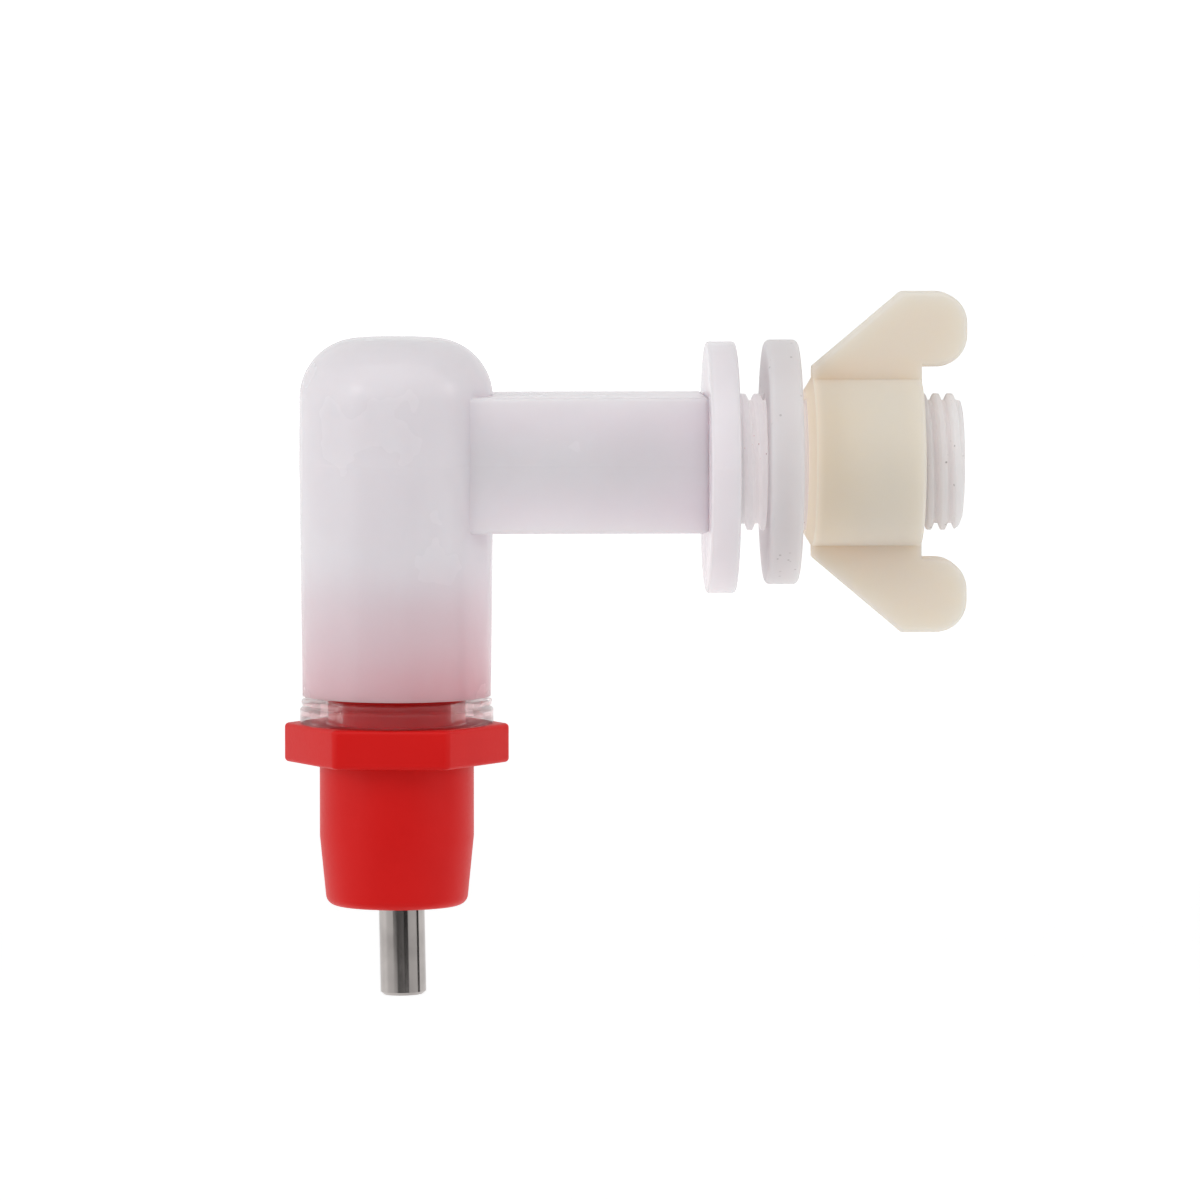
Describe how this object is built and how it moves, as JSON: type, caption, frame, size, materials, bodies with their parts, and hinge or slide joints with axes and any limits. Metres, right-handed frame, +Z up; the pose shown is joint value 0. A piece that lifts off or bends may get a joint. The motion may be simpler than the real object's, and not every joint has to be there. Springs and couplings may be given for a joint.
{
  "type": "poultry nipple drinker",
  "caption": "Bucket-mounted drinker: a milky elbow clamped through the wall by a wing nut, ending in a hanging red nipple whose steel pin opens a valve when pushed.",
  "frame": {"origin": "middle of the spigot at the flange's seat face, where the bucket's wall bears", "axes": "+X along the spigot into the bucket, towards the wing nut; +Z up; the nipple hangs on an upright axis 28.2 mm out at -X; +Y away from the front view"},
  "size_m": [0.0568, 0.021, 0.0586],
  "materials": {
    "milky_elbow": "satin, slightly translucent",
    "white_washer": "matt",
    "cream_nut": "matt",
    "clear_gasket": "soft, clear, glossy",
    "red_body": "satin",
    "stainless": "turned",
    "black_seal": "matt",
    "white_cap": "satin"
  },
  "bodies": {
    "fitting": {"elbow": "milky_elbow", "nipple_gasket": "clear_gasket", "nipple_body": "red_body", "seat_sleeve": "stainless", "seal_ring": "black_seal", "upper_seat": "stainless", "inlet_cap": "white_cap"},
    "washer": {"bucket_washer": "white_washer"},
    "nut": {"wing_nut": "cream_nut"},
    "metering": {"metering_pin": "stainless"},
    "trigger": {"trigger_pin": "stainless"}
  },
  "joints": [
    {"name": "washer_follow", "type": "slide", "parent": "fitting", "child": "washer", "axis": [-1, 0, 0], "range_m": [-0.01151, 0.0021]},
    {"name": "nut_turn", "type": "hinge", "parent": "washer", "child": "nut", "pos_m": [0, 0, 0], "axis": [-1, 0, 0], "range_deg": [-3600, 648]},
    {"name": "valve_lift", "type": "slide", "parent": "fitting", "child": "metering", "axis": [0, 0, 1], "range_m": [0, 0.0012]},
    {"name": "pin_tilt", "type": "hinge", "parent": "metering", "child": "trigger", "pos_m": [-0.0282, 0, -0.017], "axis": [0, -1, 0], "range_deg": [-7.6, 5.4]}
  ],
  "couplings": [
    {"joint": "washer_follow", "follows": "nut_turn", "m_per_rad": 0.00018303}
  ]
}
